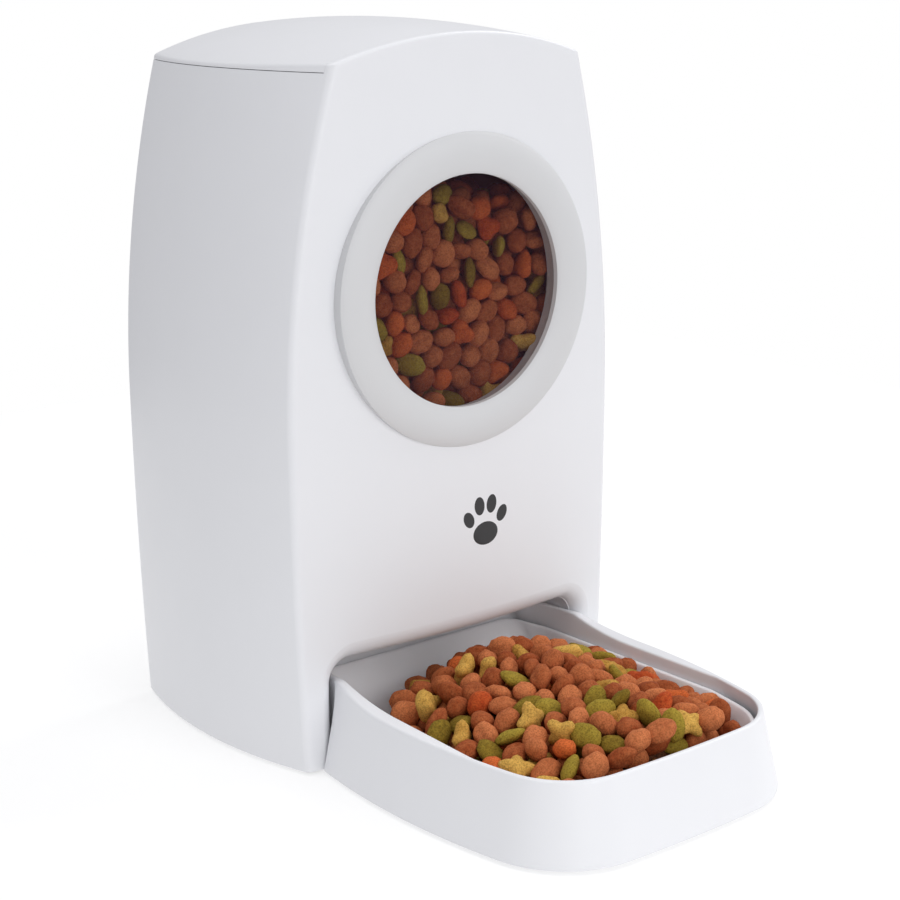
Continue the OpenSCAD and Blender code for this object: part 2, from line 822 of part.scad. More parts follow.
// The room left for the tray: open before the body, then drawn in round the bay's reveal
module mouth_room()
    union() {
        translate([-120, -bowl_front - 10]) square([240, bowl_front + 10 + tray_shoulder_y]);
        difference() {
            translate([-bowl_rear_half - reveal, tray_shoulder_y - eps])
                square([2 * (bowl_rear_half + reveal), reveal_d + eps]);
            for (x = [-1, 1])
                translate([x * (bowl_rear_half + reveal), tray_shoulder_y + reveal_d])
                    scale([reveal, reveal_d]) circle(1, $fn = 96);
        }
    }

// The tray's straight inner sides, which spread a little towards the front
module inner_sides(inset)
    let (rear = bowl_rear - tray_wall - inset, a = inner_rear_half - inset, b = inner_front_half - inset)
        polygon([[-a, rear], [-b, inner_spread_y], [-b, -bowl_front],
            [b, -bowl_front], [b, inner_spread_y], [a, rear]]);

module slab(z, t)
    translate([0, 0, z]) linear_extrude(t) children();

function draft_at(z) = bowl_draft * (z - bowl_z) / (bowl_h - bowl_z);

module drafted(inset, z0, z1)
    hull() {
        slab(z0, 0.1) bowl_outline(inset + draft_at(z0));
        slab(z1 - 0.1, 0.1) bowl_outline(inset + draft_at(z1));
    }

// Trims the rim level, and lets it rise over the last stretch before the body
module rim_cut()
    union() {
        translate([-120, -bowl_front - 10, bowl_h]) cube([240, bowl_front + 10 + rim_rise_y, 20]);
        translate([-120, rim_rise_y, bowl_h + rim_rise_r]) rotate([0, 90, 0])
            cylinder(r = rim_rise_r, h = 240, $fn = 720);
    }

// The front swells out past the body; the rear fits the bay and ends in a raised guard
module bowl_tray() in_frame() color("white")
    difference() {
        union() {
            difference() {
                intersection() {
                    drafted(0, bowl_z, rim_top);
                    slab(bowl_z, rim_top) mouth_room();
                }
                rim_cut();
            }
            translate([-bowl_rear_half, tray_shoulder_y + reveal_d - eps, bowl_z])
                cube([2 * bowl_rear_half, bowl_rear - tray_shoulder_y - reveal_d + eps, rim_top - bowl_z]);
            translate([-guard_half_w, bowl_rear - tray_wall, bowl_z])
                cube([2 * guard_half_w, tray_wall, guard_h - bowl_z]);
        }
        intersection() {
            drafted(tray_wall, bowl_z + tray_floor, rim_top + 5);
            slab(bowl_z + tray_floor, rim_top) inner_sides(0);
        }
    }

// Basin between two heights: its sides, drawn in by an inset, and its sloping rear
module basin_form(inset, z0, z1)
    hull() {
        slab(z0, 0.1) intersection() {
            bowl_outline(bowl_draft + tray_wall + basin_slope + inset);
            translate([-120, -230]) square([240, 230 + bowl_rear - basin_run - inset]);
        }
        slab(z1 - 0.1, 0.1) intersection() {
            bowl_outline(bowl_draft + tray_wall + basin_gap + inset);
            inner_sides(basin_gap + inset);
        }
    }

module bowl_basin() in_frame() color("white")
    difference() {
        basin_form(0, bowl_z + tray_floor + fit, basin_top);
        basin_form(basin_wall, bowl_z + tray_floor + fit + basin_wall, basin_top + 1);
    }

module bowl_pads() in_frame() color("dimgray")
    for (p = pad_places)
        translate([p[0], p[1], 0]) cylinder(r = pad_r, h = bowl_z, $fn = round_fn);

housing_shell();
bay_surround();
window_bezel();
window_lens();
rear_cover();
base_plate();
rubber_feet();
bay_frame();
food_tank();
tank_funnel();
dosing_chamber();
dosing_cover();
outlet_chute();
gear_plate();
shaft_bushes();
rotor_shaft();
paddle_rotor();
stirrer();
rotor_gear();
idler_pin();
idler_gear();
drive_motor();
motor_screws();
motor_shaft();
motor_pinion();
circuit_board();
board_parts();
power_socket();
battery_holder();
battery_cells();
battery_contacts();
battery_door();
door_pin();
feed_button();
button_dome();
switch_board();
status_light();
lid();
lid_seal();
desiccant_box();
desiccant_cover();
lid_hinge_pin();
bowl_tray();
bowl_basin();
bowl_pads();
cover_screws();
base_screws();
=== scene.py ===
"""Automatic pet feeder: the looks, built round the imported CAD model.

Shapes are worked out in millimetres about the body's centre (the same numbers as the CAD source) and
become metres in the shared frame in make().
"""

import json
import math

import bmesh
import bpy
import numpy as np
from mathutils import Matrix, Vector, noise


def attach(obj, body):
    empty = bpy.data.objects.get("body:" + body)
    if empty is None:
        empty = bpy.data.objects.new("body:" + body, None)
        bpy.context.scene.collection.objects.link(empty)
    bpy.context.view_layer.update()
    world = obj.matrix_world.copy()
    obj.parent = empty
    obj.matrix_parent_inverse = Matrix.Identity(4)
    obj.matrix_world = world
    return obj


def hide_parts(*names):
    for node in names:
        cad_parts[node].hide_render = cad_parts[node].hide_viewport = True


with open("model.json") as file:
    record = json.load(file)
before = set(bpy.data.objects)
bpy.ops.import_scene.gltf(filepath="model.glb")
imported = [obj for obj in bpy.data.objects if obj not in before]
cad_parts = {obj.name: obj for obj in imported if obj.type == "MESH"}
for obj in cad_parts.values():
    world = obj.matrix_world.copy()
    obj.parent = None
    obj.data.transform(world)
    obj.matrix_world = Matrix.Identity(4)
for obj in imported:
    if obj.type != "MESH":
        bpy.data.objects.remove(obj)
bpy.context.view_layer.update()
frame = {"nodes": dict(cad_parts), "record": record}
rng = np.random.default_rng(7)

# ---------- sizes, in millimetres ----------
FRAME_Y = 70.8  # from the body's centre to the frame's origin
BOTTOM_Z = 1.5  # lower edge of the body and the bowl, above the table
BODY_H, BACK_Y, FRONT_Y = 317.5, 66.0, 71.6
FRONT_R, ROOF_ACROSS_R, ROOF_ALONG_R = 519.0, 200.0, 640.0  # arcs of the front and the roof
SIDE_X, SIDE_Y, SIDE_R = 112.0, 4.0, 212.0  # plan arc of each side
WIDEST_Z, UPPER_R, LOWER_R = 150.0, 584.0, 3300.0  # elevation arcs of each side
SEAM_Z, GAP, WALL, LIP = 299.0, 0.3, 2.6, 3.2
WINDOW_Z, BEZEL_R, WINDOW_R = 204.0, 68.2, 50.5
CORNER, REAR = 4.5, 1.2  # roundings of the body's upright edges
BAY_W, BAY_H, REVEAL, REVEAL_D = 70.5, 48.5, 6.5, 9.0
SURROUND_BACK, POCKET_BACK = -59.6, -59.2
HINGE_Y, HINGE_R, KNUCKLE_HALF, LEAF_Y = 69.4, 3.0, 28.5, 64.6

BOWL_HALF, BOWL_FRONT, BOWL_H, BOWL_CORNER, DRAFT = 82.0, 214.0, 36.0, 42.0, 7.5
BULGE_R, BULGE_Y, BOW_R = 330.0, -112.0, 700.0  # arcs of the bowl's sides and front
SHOULDER, BOWL_BACK, BOWL_REAR_HALF = -67.5, -24.0, 68.5
INNER_FRONT, INNER_REAR, INNER_SPREAD_Y = 68.8, 65.4, -160.0
RISE_Y, RISE_R = -105.0, 143.1  # where the rim starts to rise towards the body, and its arc
RIM_R, TRAY_FILLET_TOP, TRAY_FILLET_R = 1.0, 6.0, 2.5
BASIN_TOP, BASIN_GAP, BASIN_SLOPE, BASIN_RUN = 30.0, 0.6, 7.0, 26.8
BASIN_WALL, BASIN_RIM_R, BASIN_RIM_Z, BASIN_LOW = 1.8, 0.9, 29.1, 3.55
BASIN_FILLET_TOP, BASIN_FILLET_R, BASIN_SOFT = 11, 5.6, 8.0


# ---------- mesh helpers ----------
CREASE = 32  # degrees


def make(name, verts, faces, body, crease=CREASE):
    """A piece from points about the body's centre, smooth but for edges sharper than crease degrees."""
    points = (np.asarray(verts, float) + [0, FRAME_Y, 0]) * 0.001
    mesh = bpy.data.meshes.new(name)
    mesh.from_pydata(points.tolist(), [], [list(f) for f in faces])
    obj = bpy.data.objects.new(name, mesh)
    bpy.context.scene.collection.objects.link(obj)
    shade(obj, crease)
    if body:
        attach(obj, body)
    return obj


def shade(obj, crease):
    bm = bmesh.new()
    bm.from_mesh(obj.data)
    bmesh.ops.remove_doubles(bm, verts=bm.verts, dist=2e-7)
    bmesh.ops.dissolve_degenerate(bm, edges=bm.edges, dist=1e-7)
    bmesh.ops.recalc_face_normals(bm, faces=bm.faces)
    for f in bm.faces:
        f.smooth = True
    for e in bm.edges:
        e.smooth = len(e.link_faces) == 2 and e.calc_face_angle(0) < math.radians(crease)
    bm.to_mesh(obj.data)
    bm.free()


def grid(rows, closed=True, base=0):
    """Quads between rows of equally many points; the points of a row form a loop if closed."""
    rows = np.asarray(rows, float)
    m, n = rows.shape[:2]
    faces = []
    for i in range(m - 1):
        for j in range(n if closed else n - 1):
            k = (j + 1) % n
            faces.append((base + i * n + j, base + i * n + k, base + (i + 1) * n + k, base + (i + 1) * n + j))
    return rows.reshape(-1, 3), faces


def solid(rows, caps=(True, True)):
    """A closed loft with its first and last loop filled."""
    verts, faces = grid(rows)
    m, n = len(rows), len(rows[0])
    if caps[0]:
        faces.append(tuple(range(n - 1, -1, -1)))
    if caps[1]:
        faces.append(tuple((m - 1) * n + j for j in range(n)))
    return verts, faces


def join(*parts):
    verts, faces, base = [], [], 0
    for v, f in parts:
        verts.append(np.asarray(v, float))
        faces += [tuple(base + i for i in face) for face in f]
        base += len(v)
    return np.vstack(verts), faces


def cut(obj, tool):
    """Takes a tool away from a piece, and removes the tool."""
    mod = obj.modifiers.new("cut", "BOOLEAN")
    mod.operation, mod.object, mod.solver = "DIFFERENCE", tool, "EXACT"
    dg = bpy.context.evaluated_depsgraph_get()
    obj.data = bpy.data.meshes.new_from_object(obj.evaluated_get(dg))
    obj.modifiers.clear()
    bpy.data.objects.remove(tool)
    shade(obj, CREASE)


def prism(outline_xz, y0, y1):
    """A cutting tool: an outline in X and Z, extruded along Y."""
    loops = [[(x, y, z) for x, z in outline_xz] for y in (y0, y1)]
    return make("tool", *solid(loops), None)


def tube_x(x0, x1, y, z, r, bevel=0.3, n=40):
    """A rod along X with bevelled ends."""
    turns = np.linspace(0, 2 * np.pi, n, endpoint=False)

    def ring(x, s):
        return [(x, y + s * math.cos(a), z + s * math.sin(a)) for a in turns]

    return solid([ring(x0, r - bevel), ring(x0 + bevel, r), ring(x1 - bevel, r), ring(x1, r - bevel)])


def rounded_box(x0, x1, y0, y1, z0, z1, r, n=4):
    """A box whose upright and top edges are rounded."""
    corners = ((x1 - r, y1 - r, 0), (x0 + r, y1 - r, 90), (x0 + r, y0 + r, 180), (x1 - r, y0 + r, 270))

    def ring(inset, z):
        pts = []
        for cx, cy, a0 in corners:
            for k in range(n + 1):
                a = math.radians(a0 + 90 * k / n)
                pts.append((cx + (r - inset) * math.cos(a), cy + (r - inset) * math.sin(a), z))
        return pts

    top = [ring(r * (1 - math.cos(t)), z1 - r * (1 - math.sin(t))) for t in np.linspace(0, 1.45, n)]
    return solid([ring(0, z0)] + top)


# ---------- the body's outer form ----------
STRETCHES = {"front": 46, "corner": 10, "side": 54, "rear corner": 7, "back": 24}  # samples on each


def half_samples():
    """For each sample of half the outline, its stretch and how far along the stretch it lies."""
    kind, t = [], []
    for k, n in enumerate(STRETCHES.values()):
        kind += [k] * n
        t += list(np.arange(n) / n)
    return np.array(kind + [len(STRETCHES) - 1]), np.array(t + [1.0])


KIND, T = half_samples()


def side_radius(z):
    """Radius of each side's plan arc at height z."""
    up = SIDE_R - UPPER_R + np.sqrt(UPPER_R**2 - (z - WIDEST_Z) ** 2)
    down = SIDE_R - LOWER_R + np.sqrt(LOWER_R**2 - (z - WIDEST_Z) ** 2)
    return np.where(z >= WIDEST_Z, up, down)


def corner_centre(ax, ay, ra, by, rb):
    """Centre of the round front left corner: where a circle about (ax, ay) crosses one about (0, by)."""
    gap = math.hypot(ax, by - ay)
    ex, ey = -ax / gap, (by - ay) / gap
    along = (ra**2 - rb**2 + gap**2) / (2 * gap)
    off = np.sqrt(ra**2 - along**2)
    return ax + along * ex - off * ey, ay + along * ey + off * ex


def half_outline(z, inset, corner, rear):
    """Left half of the body's outline, from the middle of the front to the middle of the back."""
    z = np.broadcast_to(np.asarray(z, float), T.shape)
    big, wide = side_radius(z) - inset, FRONT_R - inset
    least = 0.4
    corner, rear = max(corner - inset, least), max(rear - inset, least)
    ax, ay, by = SIDE_X, SIDE_Y, FRONT_R - FRONT_Y
    cx, cy = corner_centre(ax, ay, big - corner, by, wide - corner)
    f1 = np.arctan2(cy - by, cx)
    f2 = np.arctan2(cy - ay, cx - ax) % (2 * np.pi)
    yr = BACK_Y - inset - rear
    xr = ax - np.sqrt((big - rear) ** 2 - (yr - ay) ** 2)
    f3 = np.arctan2(yr - ay, xr - ax) % (2 * np.pi)
    f1w = f1 % (2 * np.pi)
    front = -np.pi / 2 + T * (f1 + np.pi / 2)
    turn = f1w + T * (f2 - f1w)
    side = f2 + T * (f3 - f2)
    back = f3 + T * (np.pi / 2 - f3)
    x = np.choose(KIND, [wide * np.cos(front), cx + corner * np.cos(turn), ax + big * np.cos(side),
                         xr + rear * np.cos(back), xr * (1 - T)])
    y = np.choose(KIND, [by + wide * np.sin(front), cy + corner * np.sin(turn), ay + big * np.sin(side),
                         yr + rear * np.sin(back), yr + rear + 0 * T])
    return np.stack([x, y], 1)


def body_loop(z, inset=0.0, corner=CORNER, rear=REAR, top=None):
    """The whole outline at height z (a number, or one per half sample), as points with heights."""
    half = half_outline(z, inset, corner, rear)
    heights = np.broadcast_to(np.asarray(z if top is None else top, float), T.shape)
    left = np.column_stack([half, heights])
    right = left[-2:0:-1] * [-1, 1, 1]
    return np.vstack([left, right])


def roof(x, y):
    """Height of the crowned roof: an arc across the body, swept along a flatter arc."""
    across = ROOF_ALONG_R - ROOF_ACROSS_R + np.sqrt(ROOF_ACROSS_R**2 - np.asarray(x, float) ** 2)
    return BODY_H - ROOF_ALONG_R + np.sqrt(across**2 - np.asarray(y, float) ** 2)


def wall_top(inset, drop, corner=CORNER, rear=REAR):
    """Where the wall at an inset meets the roof lowered by drop, for each half sample."""
    z = np.full(T.shape, SEAM_Z)
    for _ in range(12):
        half = half_outline(z, inset, corner, rear)
        z = roof(half[:, 0], half[:, 1]) - drop
    return z


def full_form(bottom, edge=1.1, inset=0.0, drop=0.0, step=2.6, corner=CORNER, rear=REAR, foot=0.0):
    """The closed outer form from a height up to the roof, with a rounded top edge."""
    end = wall_top(inset, drop + edge, corner, rear)
    loops = []
    if foot:
        loops += [body_loop(bottom + foot * (1 - math.cos(a)), inset + foot * (1 - math.sin(a)), corner, rear,
                            bottom + foot * (1 - math.cos(a))) for a in (0.0, 0.5, 1.0)]
    low = bottom + foot
    rows = int((SEAM_Z - low) / step) + 8
    for k in range(rows + 1):
        z = low + (end - low) * k / rows
        loops.append(body_loop(z, inset, corner, rear))
    for a in np.linspace(0, math.pi / 2, 7)[1:]:
        shift = inset + edge * (1 - math.cos(a))
        half = half_outline(end, shift, corner + shift - inset, rear + shift - inset)
        z = roof(half[:, 0], half[:, 1]) - drop - edge * (1 - math.sin(a))
        left = np.column_stack([half, z])
        loops.append(np.vstack([left, left[-2:0:-1] * [-1, 1, 1]]))
    rim = loops[-1]
    for s in np.linspace(0, 0.97, 26)[1:]:
        ring = rim.copy()
        ring[:, 0] = rim[:, 0] * (1 - s)
        ring[:, 1] = rim[:, 1] * (1 - s) + SIDE_Y * s
        ring[:, 2] = roof(ring[:, 0], ring[:, 1]) - drop
        loops.append(ring)
    return solid(loops)


def front_y_at(x, inset=0.0):
    """Y of the body's front face at x."""
    return FRONT_R - FRONT_Y - np.sqrt((FRONT_R - inset) ** 2 - np.asarray(x, float) ** 2)


def behind_front(inset, z0, z1, reach=100.0):
    """A cutting block that fills everything behind the front face drawn in by an inset."""
    xs = np.linspace(-110, 110, 89)
    loop = [(x, front_y_at(x, inset)) for x in xs] + [(110, reach), (-110, reach)]
    return make("tool", *solid([[(x, y, z) for x, y in loop] for z in (z0, z1)]), None)


def before_front(inset, z0, z1):
    """A cutting block that fills everything before the front face drawn in by an inset."""
    xs = np.linspace(-110, 110, 89)
    loop = [(x, front_y_at(x, inset)) for x in xs] + [(110, -120), (-110, -120)]
    return make("tool", *solid([[(x, y, z) for x, y in loop] for z in (z0, z1)]), None)


def circle_xz(r, z, n=160):
    return [(r * math.cos(a), z + r * math.sin(a)) for a in np.linspace(0, 2 * np.pi, n, endpoint=False)]


def arch(half, top, r, low, n=12):
    """The bay's outline from its left foot over the top to its right foot."""
    pts = [(-half, z) for z in np.linspace(low, top - r, n, endpoint=False)]
    pts += [(-half + r - r * math.cos(a), top - r + r * math.sin(a)) for a in np.linspace(0, np.pi / 2, n)]
    pts += [(x, top) for x in np.linspace(-half + r, half - r, 4 * n + 1)[1:-1]]
    return pts + [(-x, z) for x, z in pts[: 2 * n][::-1]]


# ---------- materials ----------
PATCHES, CRUMB_PATCHES, SMEARS, PIT_SHADE = 38, 420, 120, 1500  # noise scales
DULL_GLOSS = 0.12


def material(name, colour, rough, metallic=0.0, vary=0.02, grain=900.0, bump=0.0, rough_vary=0.05,
             coat=0.0, islands=0.0, second=None, pit_shade=0.0, alpha=1.0):
    """A surface of two tones through noise, with uneven roughness, a fine grain and, for food, darker
    speckles painted as shade in pits.
    """
    mat = bpy.data.materials.new(name)
    mat.use_nodes = True
    nt = mat.node_tree
    new, link = nt.nodes.new, nt.links.new
    out = nt.nodes["Principled BSDF"]
    place = new("ShaderNodeTexCoord")

    def noise_node(scale, detail):
        n = new("ShaderNodeTexNoise")
        n.inputs["Scale"].default_value, n.inputs["Detail"].default_value = scale, detail
        link(place.outputs["Object"], n.inputs["Vector"])
        return n

    tone = new("ShaderNodeMix")
    tone.data_type = "RGBA"
    low = [c * (1 - vary) for c in colour]
    high = list(second) if second else [min(1, c * (1 + vary)) for c in colour]
    tone.inputs["A"].default_value = (*low, 1)
    tone.inputs["B"].default_value = (*high, 1)
    patches = noise_node(CRUMB_PATCHES if pit_shade else PATCHES, 3)
    factor = patches.outputs["Fac"]
    if islands:
        piece = new("ShaderNodeNewGeometry")
        blend = new("ShaderNodeMath")
        blend.operation = "MULTIPLY_ADD"
        link(piece.outputs["Random Per Island"], blend.inputs[0])
        blend.inputs[1].default_value = islands
        link(patches.outputs["Fac"], blend.inputs[2])
        shift = new("ShaderNodeMath")
        shift.operation = "SUBTRACT"
        link(blend.outputs[0], shift.inputs[0])
        shift.inputs[1].default_value = islands / 2
        shift.use_clamp = True
        factor = shift.outputs[0]
    link(factor, tone.inputs["Factor"])
    colour_out = tone.outputs["Result"]
    # Painted shade: darker speckles through noise stand for the shade in the food's pits
    if pit_shade:
        pit_shade_noise = noise_node(PIT_SHADE, 5)
        ramp = new("ShaderNodeMapRange")
        ramp.inputs["From Min"].default_value, ramp.inputs["From Max"].default_value = 0.36, 0.56
        ramp.inputs["To Min"].default_value, ramp.inputs["To Max"].default_value = 1 - pit_shade, 1.0
        link(pit_shade_noise.outputs["Fac"], ramp.inputs["Value"])
        darker = new("ShaderNodeVectorMath")
        darker.operation = "SCALE"
        link(colour_out, darker.inputs[0])
        link(ramp.outputs["Result"], darker.inputs["Scale"])
        colour_out = darker.outputs["Vector"]
    link(colour_out, out.inputs["Base Color"])
    smear = noise_node(SMEARS, 4)
    level = new("ShaderNodeMapRange")
    level.inputs["To Min"].default_value = max(0.02, rough - rough_vary)
    level.inputs["To Max"].default_value = min(1, rough + rough_vary)
    link(smear.outputs["Fac"], level.inputs["Value"])
    link(level.outputs["Result"], out.inputs["Roughness"])
    if bump:
        fine = noise_node(grain, 4)
        relief = new("ShaderNodeBump")
        relief.inputs["Strength"].default_value = min(1, bump)
        relief.inputs["Distance"].default_value = 0.0004 if pit_shade else 0.00005
        link(fine.outputs["Fac"], relief.inputs["Height"])
        link(relief.outputs["Normal"], out.inputs["Normal"])
    out.inputs["Metallic"].default_value = metallic
    out.inputs["Coat Weight"].default_value = coat
    if coat:
        out.inputs["Coat Roughness"].default_value = 0.25
    out.inputs["Alpha"].default_value = alpha
    if alpha < 1 or pit_shade:
        out.inputs["Specular IOR Level"].default_value = DULL_GLOSS
    return mat


WHITE = material("white_plastic", (0.78, 0.785, 0.81), 0.36, vary=0.012, bump=0.12, grain=1600)
# Painted light: the same white plastic made lighter, so that the shaded inside of the bowl looks lit
WHITE_LIT_INSIDE = material("white_inner_painted_light", (0.93, 0.93, 0.95), 0.45, vary=0.015, bump=0.15, grain=1500)
TRIM = material("grey_trim", (0.62, 0.622, 0.632), 0.5, vary=0.015, bump=0.3, grain=1900)
RUBBER = material("grey_rubber", (0.075, 0.075, 0.08), 0.78, vary=0.1, bump=0.5, grain=700)
# Painted light: the inner plastic is made lighter than the body's white, so that the shaded bay looks lit
INNER_LIT = material("inner_plastic", (0.92, 0.92, 0.94), 0.55, vary=0.03, bump=0.3, grain=1200)
TANK = material("tank_plastic", (0.62, 0.61, 0.68), 0.35, vary=0.03, bump=0.15, grain=1200)
BRONZE = material("bronze", (0.55, 0.36, 0.14), 0.34, metallic=1, vary=0.1, bump=0.2, grain=1400)
STEEL = material("steel", (0.5, 0.5, 0.52), 0.32, metallic=1, vary=0.06, bump=0.25, grain=1800)
ORANGE = material("orange_plastic", (0.72, 0.2, 0.035), 0.5, vary=0.05, bump=0.3, grain=1200)
GEARS = material("gear_plastic", (0.74, 0.71, 0.6), 0.5, vary=0.03, bump=0.25, grain=1200)
BOARD = material("board_green", (0.015, 0.13, 0.045), 0.4, vary=0.2, bump=0.3, grain=600, coat=0.4)
BLACK = material("black_plastic", (0.02, 0.02, 0.022), 0.45, vary=0.15, bump=0.4, grain=1200)
CELLS = material("cell_wrap", (0.03, 0.034, 0.042), 0.25, vary=0.1, bump=0.05, coat=0.5)
LIGHT = material("light_pipe", (0.3, 0.72, 0.36), 0.2, vary=0.05, coat=0.3)
SEAL = material("seal_silicone", (0.5, 0.5, 0.52), 0.6, vary=0.04, bump=0.3, grain=900)
LENS = material("smoke_lens", (0.045, 0.02, 0.03), 0.08, vary=0.03, rough_vary=0.03, alpha=0.2)
PRINT = material("print_ink", (0.03, 0.03, 0.032), 0.6, vary=0.2, bump=0.2, grain=1500)


def kibble(colour, dark, light, rough, islands, pit_shade):
    return material(f"kibble_{colour}", dark, rough, second=light, islands=islands, pit_shade=pit_shade,
                    bump=0.9, grain=1300, vary=0.1)


FOOD = {
    "brown": kibble("brown", (0.34, 0.075, 0.022), (0.62, 0.2, 0.075), 0.86, 0.9, 0.35),
    "orange": kibble("orange", (0.46, 0.06, 0.014), (0.68, 0.16, 0.04), 0.85, 0.8, 0.35),
    "green": kibble("green", (0.22, 0.135, 0.015), (0.4, 0.29, 0.04), 0.85, 0.8, 0.4),
    "yellow": kibble("yellow", (0.5, 0.24, 0.04), (0.72, 0.43, 0.1), 0.85, 0.7, 0.4),
}
# Painted shade: a food colour darker than any piece, for the shade in the gaps under the heaps
SHADE_BED = material("kibble_shade_bed", (0.10, 0.04, 0.02), 0.95, second=(0.2, 0.08, 0.04),
                 pit_shade=0.6, bump=1.0, grain=500)

BY_SLOT = {
    "white_plastic": WHITE, "grey_trim": TRIM, "smoke_lens": LENS, "grey_rubber": RUBBER,
    "inner_plastic": INNER_LIT, "tank_plastic": TANK, "bronze": BRONZE, "steel": STEEL,
    "orange_plastic": ORANGE, "gear_plastic": GEARS, "board_green": BOARD, "black_plastic": BLACK,
    "cell_wrap": CELLS, "light_pipe": LIGHT, "seal_silicone": SEAL,
}


def dress(obj, mat):
    obj.data.materials.clear()
    obj.data.materials.append(mat)
    return obj


slots = {s["node"]: s["material_slot"] for s in frame["record"]["subparts"]}
for node, obj in frame["nodes"].items():
    dress(obj, BY_SLOT[slots[node]])

# ---------- body ----------
ARCH_OUT = (BAY_W + REVEAL, BAY_H + 9.0, 17.0)  # half width, height and corner radius
ARCH_IN = (BAY_W, BAY_H, 10.0)
PAST = 10  # how far a cutting tool reaches past the piece
HOLE_R = WINDOW_R + 3.8
OUTSIDE_Y, INSIDE_Y = -90, -40  # before and behind the front wall

shell = make("body_shell", *full_form(BOTTOM_Z, edge=1.3, foot=0.8), None)
cut(shell, make("tool", *solid([body_loop(z, WALL) for z in np.linspace(0, SEAM_Z + 1, 40)]), None))
open_back = []
within, beyond = 60, 72  # before and behind the back wall
for z in np.linspace(-5, SEAM_Z + 5, 60):
    w = float(np.sqrt(side_radius(z) ** 2 - (BACK_Y - SIDE_Y) ** 2)) - SIDE_X - WALL
    open_back.append([(-w, within, z), (w, within, z), (w, beyond, z), (-w, beyond, z)])
cut(shell, make("tool", *solid(open_back), None))
cut(shell, behind_front(LIP, SEAM_Z, BODY_H + PAST))
cut(shell, prism(circle_xz(HOLE_R, WINDOW_Z), OUTSIDE_Y, INSIDE_Y))
cut(shell, prism(arch(*ARCH_OUT, -5), OUTSIDE_Y, POCKET_BACK))
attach(shell, "body")
dress(shell, WHITE)
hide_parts("housing_shell")

# Reveal round the bay: it leaves the front face tangent and turns into the bay, with hidden flanges
rows = []
for a in np.linspace(0, np.pi / 2, 14):
    out = 1 - math.sin(a)
    half, top, r = [i + (o - i) * out for i, o in zip(ARCH_IN, ARCH_OUT)]
    loop = np.array(arch(half, top, r, BOTTOM_Z))
    y = front_y_at(loop[:, 0] * (ARCH_OUT[0] / half)) + REVEAL_D * (1 - math.cos(a))
    rows.append(np.column_stack([loop[:, 0], y, loop[:, 1]]))
hidden_back = ((*ARCH_IN, SURROUND_BACK), (BAY_W + 3, BAY_H + 3, 12.0, SURROUND_BACK),
               (BAY_W + 6.4, BAY_H + 8.9, 17.0, -62.5))
for half, top, r, y in hidden_back:
    loop = np.array(arch(half, top, r, BOTTOM_Z))
    rows.append(np.column_stack([loop[:, 0], np.full(len(loop), y), loop[:, 1]]))
verts, faces = grid(rows + [rows[0]], closed=False)
n = len(rows[0])
faces.append(tuple(k * n for k in range(len(rows))))
faces.append(tuple(k * n + n - 1 for k in range(len(rows)))[::-1])
reveal = dress(make("bay_reveal", verts, faces, "body", crease=50), WHITE)
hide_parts("bay_surround")

# Bezel: a round bead on the curved front, with a collar through the wall
angles = np.linspace(0, 2 * np.pi, 220, endpoint=False)
crest, flat, fullness, collar_back = 2.6, FRONT_Y + 0.25, 0.85, 62.8
middle, reach = (BEZEL_R + WINDOW_R) / 2, (BEZEL_R - WINDOW_R) / 2
bead = [(BEZEL_R, "skin")]
for t in np.linspace(-1, 1, 27):
    bead.append((middle - reach * t, flat + crest * (1 - t * t) ** fullness))
bead += [(WINDOW_R, FRONT_Y - 2.2), (WINDOW_R + 1.8, FRONT_Y - 2.25), (WINDOW_R + 1.8, collar_back),
         (WINDOW_R + 3.2, collar_back), (WINDOW_R + 3.4, "skin"), (WINDOW_R + 3.45, "skin")]
rows = []
for r, h in bead:
    x = r * np.cos(angles)
    y = front_y_at(x) - 0.01 if h == "skin" else np.full(len(x), -float(h))
    rows.append(np.column_stack([x, y, WINDOW_Z + r * np.sin(angles)]))
verts, faces = grid(rows + [rows[0]])
bezel = dress(make("bezel_ring", verts, faces, "body", crease=40), TRIM)
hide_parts("window_bezel")

# A plain printed paw below the window
def pad(x, z, rx, rz, tilt):
    """A thin oval pad that follows the front face."""
    loops = []
    c, s = math.cos(tilt), math.sin(tilt)
    for scale, lift in ((1.0, -0.02), (0.98, 0.05), (0.6, 0.06), (0.02, 0.06)):
        loop = []
        for a in np.linspace(0, 2 * np.pi, 36, endpoint=False):
            u, v = rx * scale * math.cos(a), rz * scale * math.sin(a)
            px, pz = x + u * c - v * s, z + u * s + v * c
            loop.append((px, float(front_y_at(px)) - lift, pz))
        loops.append(loop)
    return solid(loops, caps=(False, True))


PAW_X, PAW_Z = 9.0, 93.5
toes = ((-9.6, 101.2, 2.8, 4.0, 0.5), (-3.5, 106.6, 2.9, 4.3, 0.12))
paw = [pad(PAW_X, PAW_Z, 7.2, 5.4, 0)]
paw += [pad(PAW_X + side * x, z, rx, rz, side * tilt) for x, z, rx, rz, tilt in toes for side in (1, -1)]
dress(make("paw_print", *join(*paw), "body"), PRINT)

